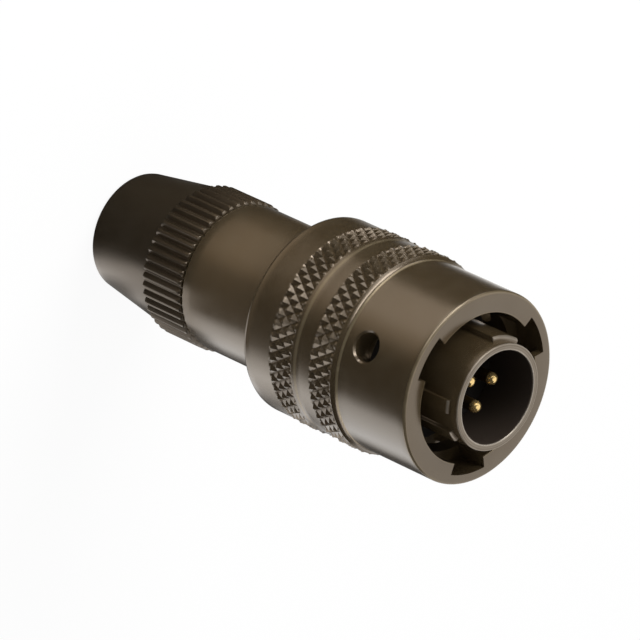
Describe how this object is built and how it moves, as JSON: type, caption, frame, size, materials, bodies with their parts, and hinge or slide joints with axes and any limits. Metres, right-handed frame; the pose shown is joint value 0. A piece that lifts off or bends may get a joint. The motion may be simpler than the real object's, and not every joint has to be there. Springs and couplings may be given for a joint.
{
  "type": "circular bayonet connector plug",
  "caption": "Straight circular cable plug with a knurled bayonet coupling ring, keyed barrel, gilt pin contacts, backshell and tapered cable clamp nut.",
  "frame": {"origin": "centre of the flat end of the clamp nut, on which the plug stands", "axes": "+Z along the connector's axis towards the mating end, main key of the barrel on +Y"},
  "size_m": [0.0262, 0.0262, 0.0655],
  "materials": {
    "olive_metal": "dark olive bronze conversion coat, satin",
    "shell_metal": "dark olive bronze conversion coat, rubbed bright on the rim",
    "spring_steel": "bright",
    "plain_metal": "machined",
    "seal_rubber": "matt",
    "insulator": "moulded, satin",
    "gilt": "gold plated, polished"
  },
  "bodies": {
    "root": {"plug_shell": "shell_metal", "wave_spring": "spring_steel", "back_washer": "spring_steel", "retaining_ring": "spring_steel", "shell_gasket": "seal_rubber", "pin_insert": "insulator", "interfacial_seal": "seal_rubber", "pin_a": "gilt", "pin_b": "gilt", "pin_c": "gilt", "insert_retainer": "plain_metal", "backshell_o_ring": "seal_rubber", "backshell": "olive_metal", "gland_washer": "plain_metal", "gland_bush": "seal_rubber"},
    "ring_carrier": {"thrust_washer": "spring_steel"},
    "ring": {"coupling_ring": "olive_metal"},
    "nut_carrier": {"slip_washer": "plain_metal"},
    "nut": {"clamp_nut": "olive_metal"}
  },
  "joints": [
    {"name": "ring_travel", "type": "slide", "parent": "root", "child": "ring_carrier", "axis": [0, 0, 1], "range_m": [0, 0.0009], "stiffness_N_per_m": 20000, "springref_m": -0.0002, "deforming": ["wave_spring"]},
    {"name": "ring_turn", "type": "hinge", "parent": "ring_carrier", "child": "ring", "pos_m": [0, 0, 0.048], "axis": [0, 0, 1], "continuous": true},
    {"name": "nut_advance", "type": "slide", "parent": "root", "child": "nut_carrier", "axis": [0, 0, -1], "range_m": [0, 0.00191]},
    {"name": "nut_turn", "type": "hinge", "parent": "nut_carrier", "child": "nut", "pos_m": [0, 0, 0.01], "axis": [0, 0, -1], "range_deg": [0, 540]}
  ],
  "couplings": [
    {"joint": "nut_advance", "follows": "nut_turn", "m_per_rad": 0.00020213}
  ]
}
